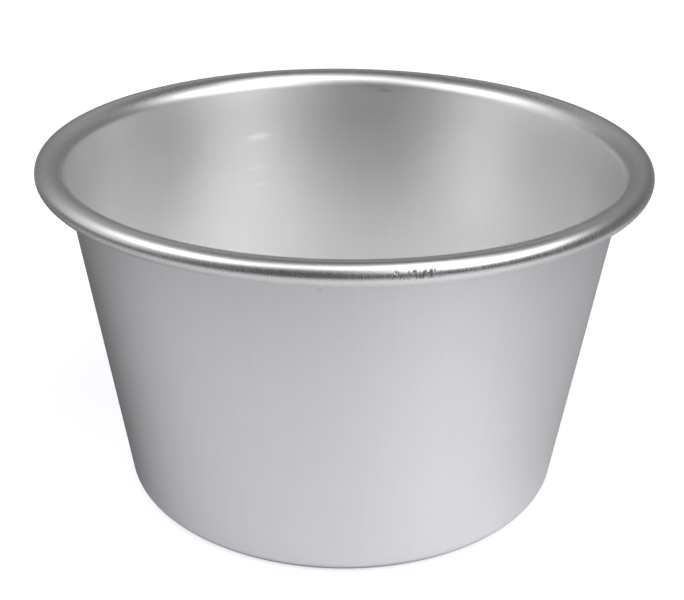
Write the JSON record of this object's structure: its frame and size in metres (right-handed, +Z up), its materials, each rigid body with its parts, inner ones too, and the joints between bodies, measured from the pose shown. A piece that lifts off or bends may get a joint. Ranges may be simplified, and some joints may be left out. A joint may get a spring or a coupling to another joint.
{
  "type": "panettone tin",
  "caption": "Tall round baking mould in bare aluminium: flat base, straight wall widening upwards, rim rolled outwards into a hollow bead.",
  "frame": {"origin": "centre of the flat underside, on the surface that the tin stands on", "axes": "+Z up along the axis of the round tin, from the base to the mouth; X and Y across it"},
  "size_m": [0.2001, 0.2002, 0.116],
  "materials": {
    "satin_aluminium": "satin, spun, lightly rubbed on the rim"
  },
  "bodies": {
    "root": {"tin": "satin_aluminium"}
  },
  "joints": []
}
